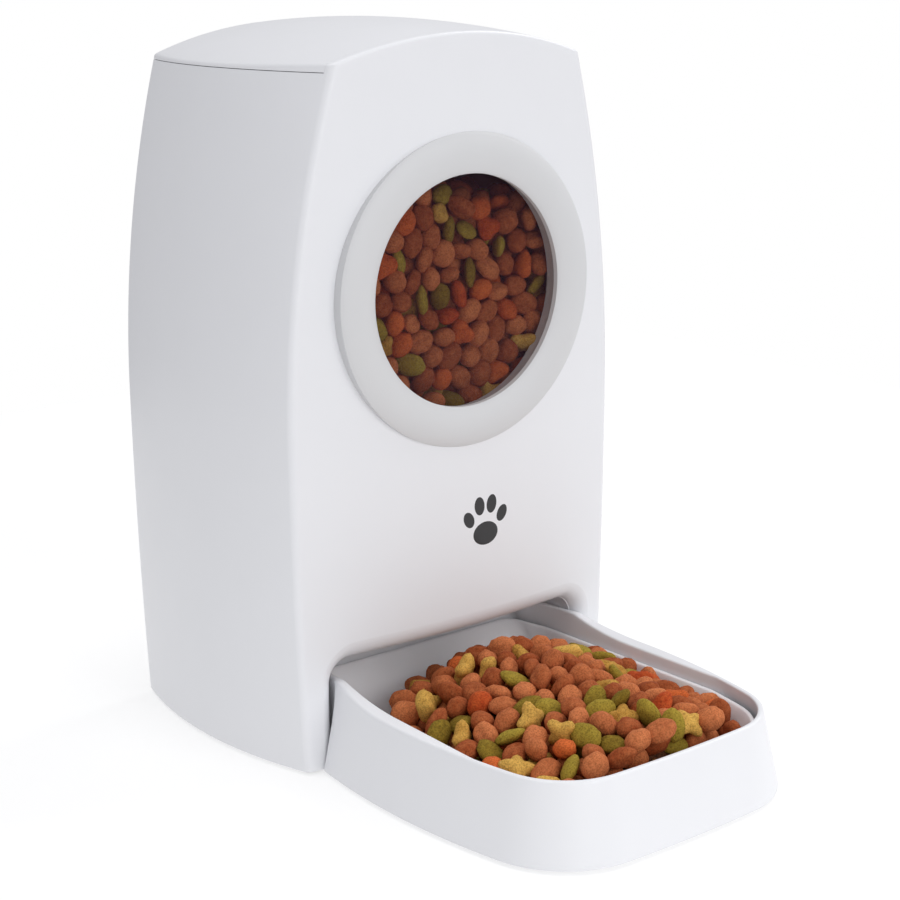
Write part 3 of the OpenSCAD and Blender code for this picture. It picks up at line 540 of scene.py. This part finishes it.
# ---------- lid ----------
lid = make("lid_shell", *full_form(SEAM_Z + GAP, edge=1.1, step=0.8), None)
cut(lid, before_front(LIP + 0.1, SEAM_Z - 5, BODY_H + PAST))
inner = make("tool", *full_form(SEAM_Z - 4, edge=0.8, inset=WALL, drop=WALL, step=1.2), None)
cut(inner, before_front(LIP + GAP + WALL, SEAM_Z - 10, BODY_H + PAST))
cut(lid, inner)
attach(lid, "lid")
dress(lid, WHITE)
SKIRT_OUT, SKIRT_IN, SKIRT_LOW, SOFT = 6.2, 8.2, 291.0, 0.5
levels = (SKIRT_LOW + 0.6, 296, 300)
skirt = [body_loop(SKIRT_LOW, SKIRT_OUT + SOFT)] + [body_loop(z, SKIRT_OUT) for z in levels]
skirt += [body_loop(wall_top(inset, 1.5), inset) for inset in (SKIRT_OUT, SKIRT_IN)]
skirt += [body_loop(z, SKIRT_IN) for z in levels[::-1]] + [body_loop(SKIRT_LOW, SKIRT_IN - SOFT)]
verts, faces = grid(skirt + [skirt[0]])
dress(make("lid_skirt", verts, faces, "lid"), WHITE)
leaf = rounded_box(-KNUCKLE_HALF, KNUCKLE_HALF, LEAF_Y, HINGE_Y, SEAM_Z + 0.4, SEAM_Z + 4.6, r=0.3)
knuckle = join(tube_x(-KNUCKLE_HALF, KNUCKLE_HALF, HINGE_Y, SEAM_Z, HINGE_R), leaf)
dress(make("lid_knuckle", *knuckle, "lid"), WHITE)
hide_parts("lid")


# ---------- bowl ----------
def bowl_draft(z):
    """How far the bowl's walls have drawn in at height z."""
    return DRAFT * (z - BOTTOM_Z) / (BOWL_H - BOTTOM_Z)


def arc(cx, cy, r, a0, a1, n):
    """Points on an arc between two angles in degrees."""
    a = np.radians(np.linspace(a0, a1, n))
    return [(cx + r * math.cos(t), cy + r * math.sin(t)) for t in a]


def bowl_half(inset):
    """Left half of the bowl's bowed front with its round corner, and the Y where its side starts."""
    ax, by = BULGE_R - BOWL_HALF, BOW_R - BOWL_FRONT
    cx, cy = corner_centre(ax, BULGE_Y, BULGE_R - BOWL_CORNER, by, BOW_R - BOWL_CORNER)
    f1 = math.degrees(math.atan2(cy - by, cx)) % 360
    f2 = math.degrees(math.atan2(cy - BULGE_Y, cx - ax)) % 360
    pts = arc(0, by, BOW_R - inset, 270, f1, 14)[:-1] + arc(cx, cy, BOWL_CORNER - inset, f1, f2, 26)[:-1]
    return np.array(pts), BULGE_Y + (BULGE_R - inset) * math.sin(math.radians(f2))


def fillet(p, q, s, r, n=6):
    """Points that round the corner q between p and s."""
    p, q, s = map(np.array, (p, q, s))
    u, v = (p - q) / np.linalg.norm(p - q), (s - q) / np.linalg.norm(s - q)
    angle = math.acos(np.clip(u @ v, -1, 1))
    t = r / math.tan(angle / 2)
    a, b = q + u * t, q + v * t
    c = q + (u + v) / np.linalg.norm(u + v) * (r / math.sin(angle / 2))
    rays = [a * (1 - k) + b * k - c for k in np.linspace(0, 1, n)]
    return np.array([c + d / np.linalg.norm(d) * r for d in rays])


def side_x(y, inset):
    """How far the bowl's bulging side reaches at y."""
    return np.sqrt((BULGE_R - inset) ** 2 - (y - BULGE_Y) ** 2) - (BULGE_R - BOWL_HALF)


def inner_half(y):
    """Half width between the tray's inner sides, which spread a little towards the front."""
    rear = BOWL_BACK - WALL
    return INNER_REAR + (INNER_FRONT - INNER_REAR) * np.clip((rear - y) / (rear - INNER_SPREAD_Y), 0, 1)


def rim_lift(y):
    """How far the rim rises above its level towards the body."""
    run = np.clip(y, RISE_Y, SHOULDER) - RISE_Y
    return RISE_R - np.sqrt(RISE_R**2 - run**2)


def mirror_loop(x, y, z):
    """A closed loop from its left half."""
    left = np.column_stack([x, y, np.broadcast_to(z, np.shape(x))])
    return np.vstack([left, left[-2:0:-1] * [-1, 1, 1]])


def close_rear(x, y, rear, soft, count):
    """Adds a rounded rear corner and half of the rear wall to a side line."""
    corner = fillet((x[-1], y[-1]), (x[-1], rear), (0, rear), soft, 8)
    back = np.linspace(corner[-1][0], 0, count)[1:]
    wall_y = np.full(len(back), rear)
    return np.concatenate([x, corner[:, 0], back]), np.concatenate([y, corner[:, 1], wall_y])


def tray_loop(z, inset=0.0, inside=None):
    """Tray outline at a height below the level rim; inside offsets it from the inner sides instead."""
    front, start = bowl_half(inset + bowl_draft(z))
    rear, soft = BOWL_BACK - inset, 2.5 - inset
    if inside is not None:
        rear, soft = BOWL_BACK - WALL + inside, 4.0
    throat = SHOULDER + REVEAL_D * (1 - np.cos(np.linspace(0, np.pi / 2, 12)[1:]))
    side = np.linspace(start, SHOULDER, 40)
    y = np.concatenate([front[:, 1], side, throat, np.linspace(throat[-1], rear - soft - 1, 6)[1:]])
    share = np.clip((z - TRAY_FILLET_TOP) / (BOWL_H - RIM_R - TRAY_FILLET_TOP), 0, 1)
    h = z + rim_lift(y) * share
    n = len(front)
    x = np.concatenate([front[:, 0], -side_x(y[n:], inset + bowl_draft(h[n:]))])
    if inside is None:
        turn = np.arccos(np.clip(1 - (y - SHOULDER) / REVEAL_D, 0, 1))
        room = np.where(y > SHOULDER + 0.001, BOWL_REAR_HALF + REVEAL * (1 - np.sin(turn)) - inset, 200)
    else:
        room = inner_half(y) + inside
    x = -np.minimum(-x, room)
    x, y = close_rear(x, y, rear, soft, 14)
    return mirror_loop(x, y, z + rim_lift(y) * share)


RIM_Z, GUARD_HALF = BOWL_H - RIM_R, 60
tray = [tray_loop(BOTTOM_Z, 1.0), tray_loop(1.8, 0.3)]
tray += [tray_loop(z) for z in np.linspace(2.5, RIM_Z, 24)]
for a in np.linspace(0, np.pi / 2, 6)[1:]:
    tray.append(tray_loop(RIM_Z + RIM_R * math.sin(a), RIM_R * (1 - math.cos(a))))
for a in np.linspace(np.pi / 2, 0, 6):
    edge = RIM_R * (1 - math.cos(a))
    tray.append(tray_loop(RIM_Z + RIM_R * math.sin(a), WALL - edge, edge))
tray += [tray_loop(z, WALL, 0) for z in np.linspace(RIM_Z, TRAY_FILLET_TOP, 14)[1:]]
for a in (0.5, 1.0, 1.5):
    edge = TRAY_FILLET_R * (1 - math.cos(a))
    tray.append(tray_loop(TRAY_FILLET_TOP - TRAY_FILLET_R * math.sin(a), WALL + edge, -edge))
guard = rounded_box(-GUARD_HALF, GUARD_HALF, BOWL_BACK - WALL, BOWL_BACK, 39, 44, r=0.9)
bowl = dress(make("bowl_shell", *join(solid(tray), guard), "bowl", crease=50), WHITE)
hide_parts("bowl_tray")


def basin_loop(inset, z):
    """Basin outline: its sides lean in towards the floor, and its rear slopes."""
    down = (BASIN_TOP - z) / (BASIN_TOP - BASIN_LOW)
    high, low = DRAFT + WALL + BASIN_GAP + inset, DRAFT + WALL + BASIN_SLOPE + inset
    front, start = bowl_half(high + (low - high) * down)
    rear = BOWL_BACK - WALL - BASIN_GAP - BASIN_RUN * down - inset
    side = np.linspace(start, rear - BASIN_SOFT - 1, 56)
    top = np.minimum(side_x(side, high), inner_half(side) - BASIN_GAP - inset)
    x = np.concatenate([front[:, 0], -(top * (1 - down) + side_x(side, low) * down)])
    x, y = close_rear(x, np.concatenate([front[:, 1], side]), rear, BASIN_SOFT, 20)
    return mirror_loop(x, y, z)


basin = [basin_loop(1.2, 3.6)]
basin += [basin_loop(0, z) for z in np.linspace(4.4, BASIN_RIM_Z + 0.1, 12)]
for a in np.linspace(0, np.pi, 9)[1:]:
    basin.append(basin_loop(BASIN_RIM_R * (1 - math.cos(a)), BASIN_RIM_Z + BASIN_RIM_R * math.sin(a)))
basin += [basin_loop(BASIN_WALL, z) for z in np.linspace(BASIN_RIM_Z, BASIN_FILLET_TOP, 12)[1:]]
for a in np.linspace(0, np.pi / 2, 8)[1:]:
    edge = BASIN_FILLET_R * (1 - math.cos(a))
    basin.append(basin_loop(BASIN_WALL + edge, BASIN_FILLET_TOP - BASIN_FILLET_R * math.sin(a)))
liner = dress(make("bowl_liner", *solid(basin), "bowl", crease=50), WHITE_LIT_INSIDE)
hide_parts("bowl_basin")


# ---------- dry food ----------
def groove(p, depth, width):
    """A dent along the top of a piece."""
    return np.where(p[:, 2] > 0, depth * np.exp(-((p[:, 1] / width) ** 2)), 0)


def nugget(kind, level, seed):
    """A unit piece of dry food: its points, with a half length of about one, and its faces."""
    bm = bmesh.new()
    bmesh.ops.create_icosphere(bm, subdivisions=level, radius=1.0)
    p = np.array([v.co[:] for v in bm.verts])
    faces = [tuple(v.index for v in f.verts) for f in bm.faces]
    bm.free()
    around = np.arctan2(p[:, 1], p[:, 0])
    flat = np.hypot(p[:, 0], p[:, 1])
    if kind == "bean":
        q = p * [1.12, 0.84, 0.62]
        q[:, 2] -= groove(p, 0.2, 0.16) * np.clip(1 - p[:, 0] ** 2, 0, 1)
    elif kind == "round":
        q = p * [1.0, 0.88, 0.74]
    elif kind == "heart":
        q = p * (1 + 0.16 * flat * np.cos(3 * around))[:, None] * [1.0, 1.0, 0.55]
    elif kind == "oval":
        q = p * [1.15, 0.8, 0.45]
    elif kind == "star":
        q = p * (1 + 0.26 * flat * np.cos(4 * around))[:, None] * [1.0, 1.0, 0.55]
    else:
        q = np.sign(p) * np.abs(p) ** 0.7 * [1.15, 0.75, 0.6]
        q[:, 2] -= groove(p, 0.22, 0.14)
    lumps = np.array([noise.noise(Vector(v) * 1.7 + Vector((seed, 0, 3))) for v in p])
    fine = np.array([noise.noise(Vector(v) * 5.5 + Vector((0, seed, 7))) for v in p])
    return q * (1 + 0.11 * lumps + 0.045 * fine)[:, None], faces


KINDS = {"brown": ["bean", "round", "bean", "round"], "orange": ["heart", "round"],
         "green": ["oval", "oval"], "yellow": ["star", "bar"]}


def turn_matrices(count, lie):
    """Random turns; lie from 0 (any way up) to 1 (flat)."""
    spin = rng.uniform(0, 2 * np.pi, count)
    tip = rng.normal(0, 1, count) * (1 - lie) * 1.2
    roll = rng.normal(0, 1, count) * (1 - lie) * 1.2
    return [np.array(Matrix.Rotation(a, 3, "Z") @ Matrix.Rotation(b, 3, "X") @ Matrix.Rotation(c, 3, "Y"))
            for a, b, c in zip(spin, tip, roll)]


def settle(p, r, keep_in, steps=60, pull=0.05, squeeze=0.86):
    """Pushes overlapping pieces apart, holding each near its own place."""
    home = p.copy()
    for _ in range(steps):
        d = p[:, None, :] - p[None, :, :]
        dist = np.linalg.norm(d, axis=2) + 1e-9
        want = (r[:, None] + r[None, :]) * squeeze
        over = np.clip(want - dist, 0, None)
        np.fill_diagonal(over, 0)
        p = p + (d / dist[..., None] * (over * 0.25)[..., None]).sum(1)
        p = p + (home - p) * pull
        p = keep_in(p)
    return p


IN_ONE = 140  # the most nuggets in one piece
MIX = {"brown": 0.68, "orange": 0.12, "green": 0.11, "yellow": 0.09}


def scatter(name, places, sizes, share, body, level, lie, tilt=None):
    """Joins nuggets at places into one or more pieces for each colour."""
    names = list(share)
    pick = rng.choice(len(names), len(places), p=[share[k] for k in names])
    turns = turn_matrices(len(places), lie)
    for k, colour in enumerate(names):
        shapes = [nugget(kind, level, 3.1 * i + 11 * k) for i, kind in enumerate(KINDS[colour])]
        mine = np.flatnonzero(pick == k)
        for part in range(0, len(mine), IN_ONE):
            parts = []
            for i in mine[part:part + IN_ONE]:
                shape, faces = shapes[i % len(shapes)]
                m = turns[i] if tilt is None else tilt @ turns[i]
                parts.append(((shape * sizes[i]) @ m.T + places[i], faces))
            suffix = f"_{part // IN_ONE + 1}" if len(mine) > IN_ONE else ""
            dress(make(f"{name}_{colour}{suffix}", *join(*parts), body, crease=180), FOOD[colour])


def hexagons(x0, x1, y0, y1, pitch):
    """Places in staggered rows over a rectangle."""
    pts = []
    for i, y in enumerate(np.arange(y0, y1, pitch * 0.866)):
        for x in np.arange(x0 + (i % 2) * pitch / 2, x1, pitch):
            pts.append((x, y))
    return np.array(pts)


CORNER_X, CORNER_Y = 33.9, -171.1  # centres of the bowl's round corners


def inside_bowl(x, y, inset):
    """Which places lie within the bowl's outline at the table, drawn in by an inset."""
    ok = np.hypot(x + BULGE_R - BOWL_HALF, y - BULGE_Y) < BULGE_R - inset
    ok &= np.hypot(x - BULGE_R + BOWL_HALF, y - BULGE_Y) < BULGE_R - inset
    ok &= np.hypot(x, y - BOW_R + BOWL_FRONT) < BOW_R - inset
    corner = (np.abs(x) > CORNER_X) & (y < CORNER_Y)
    return ok & ~(corner & (np.hypot(np.abs(x) - CORNER_X, y - CORNER_Y) > BOWL_CORNER - inset))


def heap_top(x, y):
    """Height of the heap's surface over the table: its peak lies right of the middle, near the body."""
    peak_x, peak_y, peak_z = 5, -100, 47
    back = y - peak_y
    return peak_z - 0.037 * np.abs(x - peak_x) ** 1.5 - np.where(back < 0, 0.0004, 0.01) * back**2


BASIN_STEP = 2.4  # the basin's wall and the gap round it
LEAN, LEAN_H = 6.4, 26.5  # how far the basin's sides lean in, and over what height


def wall_inset(z, clear):
    """How far inside the bowl's outline at the table a piece must stay at height z."""
    return DRAFT + WALL + BASIN_STEP + np.clip((BASIN_TOP - z) / LEAN_H, 0, 1) * LEAN + clear


def in_heap(p, clear):
    """Which pieces lie inside the basin and before its bare rear; the heap widens towards the front."""
    x, y, z = p.T
    ok = inside_bowl(x, y, wall_inset(z, clear)) & (np.abs(x) < 61)
    rear_edge = -66 + np.clip(z - 8, 0, 40) * 0.4
    left_edge = -50 + 0.12 * (y + 76)
    return ok & (y < rear_edge) & (x > left_edge)


HEAP_FLOOR, PITCH = 10.0, 10.6
BOWL_SIZES, TANK_SIZES = (5.5, 6.7), (5.3, 6.5)  # smallest and greatest half lengths


def keep_in_bowl(q):
    return np.column_stack([np.clip(q[:, 0], -62, 62), q[:, 1], np.maximum(q[:, 2], HEAP_FLOOR)])


def heap():
    """Places and sizes of the pieces in the bowl, in three layers."""
    first_down, layer_down = 5.0, 8.0
    places = []
    for layer in range(3):
        xy = hexagons(-64, 64, -208, -46, PITCH) + [2.9 * layer, 2.4 * layer]
        xy = xy + rng.normal(0, 1.3, xy.shape)
        z = heap_top(xy[:, 0], xy[:, 1]) - first_down - layer_down * layer + rng.normal(0, 1.5, len(xy))
        p = np.column_stack([xy, z])
        places.append(p[in_heap(p, 5.2) & (z > HEAP_FLOOR)])
    p = np.vstack(places)
    r = rng.uniform(*BOWL_SIZES, len(p))
    p = settle(p, r, keep_in_bowl)
    ok = in_heap(p, 4.8)
    return p[ok], r[ok]


places, sizes = heap()
scatter("bowl_food", places, sizes, MIX, "bowl", 3, 0.35)

# A dark bed under the heap, painted shade for the gaps between pieces, so that no gap shows the bowl's floor
bed, BED_LOW, BED_DEPTH = [], 7.0, 15
for k in np.linspace(0, 1, 14):
    loop = []
    for a in np.linspace(0, 2 * np.pi, 72, endpoint=False):
        reach = 68 if math.sin(a) < 0 else 44
        x, y = 3 + 48 * math.cos(a) * (1 - k), -126 + reach * math.sin(a) * (1 - k)
        loop.append((x, y, float(heap_top(np.array(x), np.array(y))) - BED_DEPTH if k else BED_LOW))
    bed.append(loop)
dress(make("bowl_food_shade_bed", *solid(bed), "bowl", crease=180), SHADE_BED)


# Food in the tank: three layers behind the window, and a top layer seen when the lid is open
def level_at(x, y):
    """Height of the food in the tank, which slopes a little."""
    return 241.0 - 0.13 * x + 6 * np.exp(-(((x + 32) / 26) ** 2)) + 0.03 * (y + 60)


FRONT_LAYER_Y, LAYER_STEP, FOREMOST_Y = -57.6, 7.0, -57.8
front_layer = []
for layer in range(3):
    xz = hexagons(-57, 57, WINDOW_Z - 58, WINDOW_Z + 56, PITCH) + [3.1 * layer, 2.4 * layer]
    xz = xz + rng.normal(0, 1.5, xz.shape)
    y = np.full(len(xz), FRONT_LAYER_Y + LAYER_STEP * layer) + rng.normal(0, 1.1, len(xz))
    ok = (np.hypot(xz[:, 0], xz[:, 1] - WINDOW_Z) < 59) & (xz[:, 1] < level_at(xz[:, 0], -60.0) - 1)
    front_layer.append(np.column_stack([xz[:, 0], y, xz[:, 1]])[ok])
front_layer = np.vstack(front_layer)
top_xy = hexagons(-80, 80, -50, 56, 10.2)
top_xy = top_xy + rng.normal(0, 1.6, top_xy.shape)
top_z = level_at(top_xy[:, 0], top_xy[:, 1]) - 3 + rng.normal(0, 1.6, len(top_xy))
half = side_radius(top_z) - SIDE_X - 13
ok = (np.abs(top_xy[:, 0]) < half - np.abs(top_xy[:, 1]) * 0.04) & (np.abs(top_xy[:, 1]) < 54)
top_layer = np.column_stack([top_xy, top_z])[ok]


def stay_behind(q):
    return np.column_stack([q[:, 0], np.maximum(q[:, 1], FOREMOST_Y), q[:, 2]])


tank = np.vstack([front_layer, top_layer])
tank_r = rng.uniform(*TANK_SIZES, len(tank))
tank = settle(tank, tank_r, stay_behind, steps=50)
upright = np.array(Matrix.Rotation(math.pi / 2, 3, "X"))
near = np.arange(len(tank)) < len(front_layer)
scatter("window_food", tank[near], tank_r[near], MIX, "body", 3, 0.45, upright)
scatter("tank_food", tank[~near], tank_r[~near], MIX, "body", 2, 0.4)

# A dark block under the tank's food, painted shade for the gaps between pieces: half widths and heights, and
# a slope on its top
block = []
for w, z, slope in ((76, 155, 0), (86, 200, 0), (86, 226, 0), (80, 234, -0.1)):
    left = ((-w * 0.4, -45), (-w * 0.75, -40), (-w, -20), (-w, 30), (-w * 0.8, 52))
    outline = left[1::-1] + tuple((-x, y) for x, y in left) + left[:1:-1]
    block.append([(x, y, z + slope * x) for x, y in outline])
dress(make("tank_food_shade_bed", *solid(block), "body", crease=60), SHADE_BED)


# ---------- floor, light and camera, in metres ----------
def area(name, place, aim, size, power, colour=(1, 1, 1)):
    lamp = bpy.data.lights.new(name, "AREA")
    lamp.shape, lamp.size, lamp.energy, lamp.color = "SQUARE", size, power, colour
    obj = bpy.data.objects.new(name, lamp)
    bpy.context.scene.collection.objects.link(obj)
    obj.location = place
    obj.rotation_euler = (Vector(aim) - Vector(place)).to_track_quat("-Z", "Y").to_euler()


FLOOR_HALF = 0.7
floor_mesh = bpy.data.meshes.new("floor")
bm = bmesh.new()
bmesh.ops.create_grid(bm, x_segments=8, y_segments=8, size=FLOOR_HALF)
bm.to_mesh(floor_mesh)
bm.free()
floor = bpy.data.objects.new("floor", floor_mesh)
bpy.context.scene.collection.objects.link(floor)
floor_mat = bpy.data.materials.new("floor")
floor_mat.use_nodes = True
shader = floor_mat.node_tree.nodes["Principled BSDF"]
shader.inputs["Base Color"].default_value = (0.5, 0.5, 0.5, 1)
shader.inputs["Roughness"].default_value = 0.9
shader.inputs["Specular IOR Level"].default_value = 0.0
shader.inputs["Emission Color"].default_value = (1, 1, 1, 1)
shader.inputs["Emission Strength"].default_value = 0.54
floor_mesh.materials.append(floor_mat)

# Seen directly the sky is white; as light it is weaker
world = bpy.data.worlds.new("studio")
bpy.context.scene.world = world
world.use_nodes = True
nt = world.node_tree
sky, seen = nt.nodes["Background"], nt.nodes.new("ShaderNodeBackground")
sky.inputs["Color"].default_value = (0.96, 0.965, 1.0, 1)
sky.inputs["Strength"].default_value = 0.48
seen.inputs["Strength"].default_value = 1.0
seen.inputs["Color"].default_value = (1, 1, 1, 1)
path, mix = nt.nodes.new("ShaderNodeLightPath"), nt.nodes.new("ShaderNodeMixShader")
nt.links.new(path.outputs["Is Camera Ray"], mix.inputs["Fac"])
nt.links.new(sky.outputs[0], mix.inputs[1])
nt.links.new(seen.outputs[0], mix.inputs[2])
nt.links.new(mix.outputs[0], nt.nodes["World Output"].inputs["Surface"])

area("key", (1.7, -0.05, 1.6), (0, 0, 0.12), 1.3, 16, (1.0, 0.995, 0.985))
area("front_fill", (0.35, -1.9, 1.1), (0, 0, 0.05), 1.2, 10.5)
area("low_fill", (-0.3, -1.3, 0.35), (0, -0.03, 0.05), 0.8, 3)
area("overhead", (-0.5, 0.1, 2.2), (0, 0, 0.2), 1.6, 17)

YAW, PITCH_DOWN, ROLL = (math.radians(a) for a in (38.64, 14.86, 0.35))
camera_data = bpy.data.cameras.new("camera")
camera = bpy.data.objects.new("camera", camera_data)
bpy.context.scene.collection.objects.link(camera)
bpy.context.scene.camera = camera
camera_data.lens, camera_data.sensor_width = 77.44, 36.0
camera_data.clip_start, camera_data.clip_end = 0.05, 30
camera.rotation_mode = "QUATERNION"
camera.location = (-0.5201, -0.7082 + FRAME_Y / 1000, 0.3516)
heading = Matrix.Rotation(-YAW, 3, "Z") @ Matrix.Rotation(math.pi / 2 - PITCH_DOWN, 3, "X")
camera.rotation_quaternion = (heading @ Matrix.Rotation(-ROLL, 3, "Z")).to_quaternion()

scene = bpy.context.scene
scene.view_settings.view_transform = "Standard"
scene.view_settings.look = "None"
